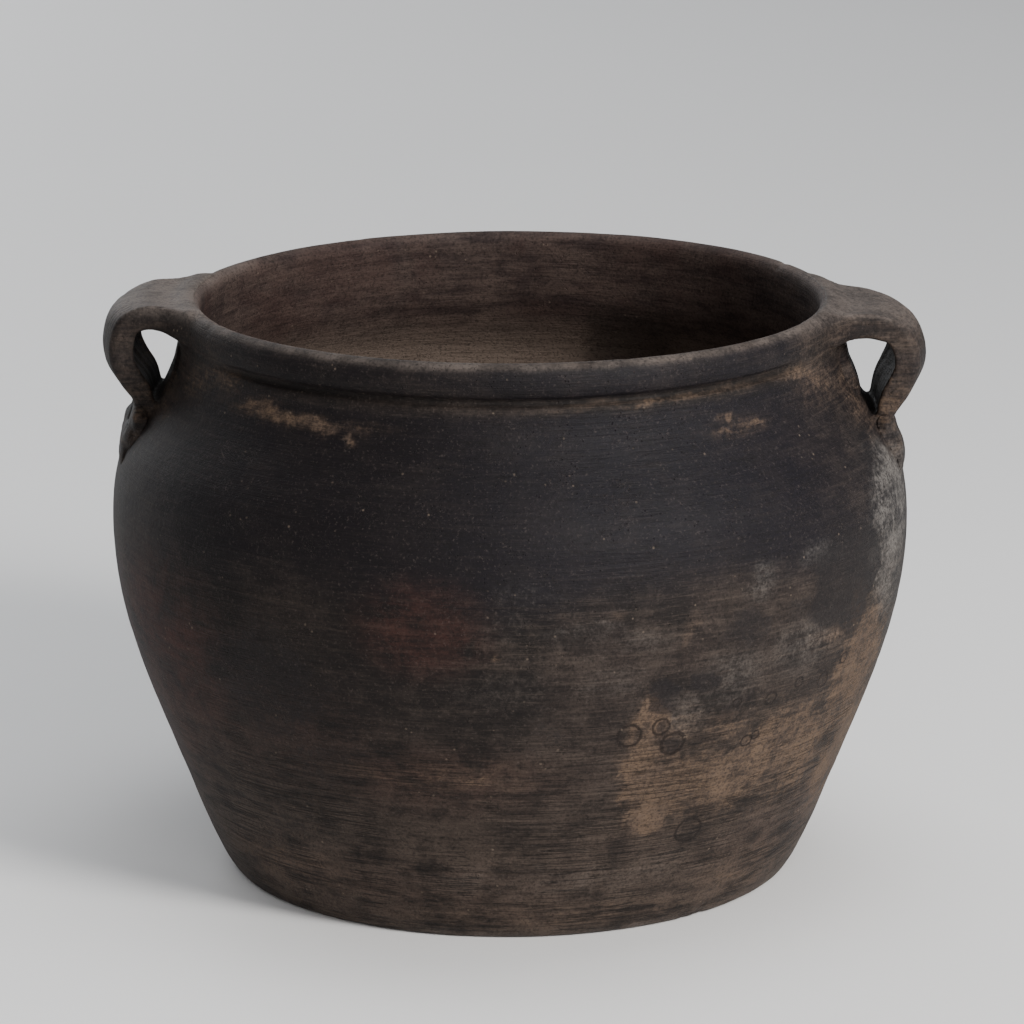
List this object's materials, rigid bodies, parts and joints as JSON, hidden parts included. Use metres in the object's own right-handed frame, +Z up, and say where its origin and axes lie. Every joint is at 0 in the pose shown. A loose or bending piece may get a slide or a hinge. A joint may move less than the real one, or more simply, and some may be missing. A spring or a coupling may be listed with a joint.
{
  "type": "clay pot",
  "caption": "Round-bellied black clay pot with a wide mouth, a low rim collar over a pressed groove, a flat base and strap handles luted between rim and shoulder.",
  "frame": {"origin": "middle of the flat underside of the base, on the axis of the pot", "axes": "+Z up along the axis of the pot; the handles lie on the X axis, the right handle at +X and the left at -X; the side seen from the front faces -Y"},
  "size_m": [0.3102, 0.3002, 0.2191],
  "materials": {
    "body_clay": "matte smoke-blackened earthenware, worn to brown and ochre in patches",
    "rim_clay": "matte smoke-blackened earthenware, rubbed along the crest",
    "handle_clay": "matte smoke-blackened earthenware, worn to ochre at the roots",
    "luting_clay": "rough finger-pressed earthenware, smoke-blackened"
  },
  "bodies": {
    "root": {"base_floor": "body_clay", "wall_lower": "body_clay", "wall_upper": "body_clay", "rim_collar": "rim_clay", "handle_left": "handle_clay", "handle_right": "handle_clay", "luting_left_upper": "luting_clay", "luting_left_lower": "luting_clay", "luting_right_upper": "luting_clay", "luting_right_lower": "luting_clay"}
  },
  "joints": []
}
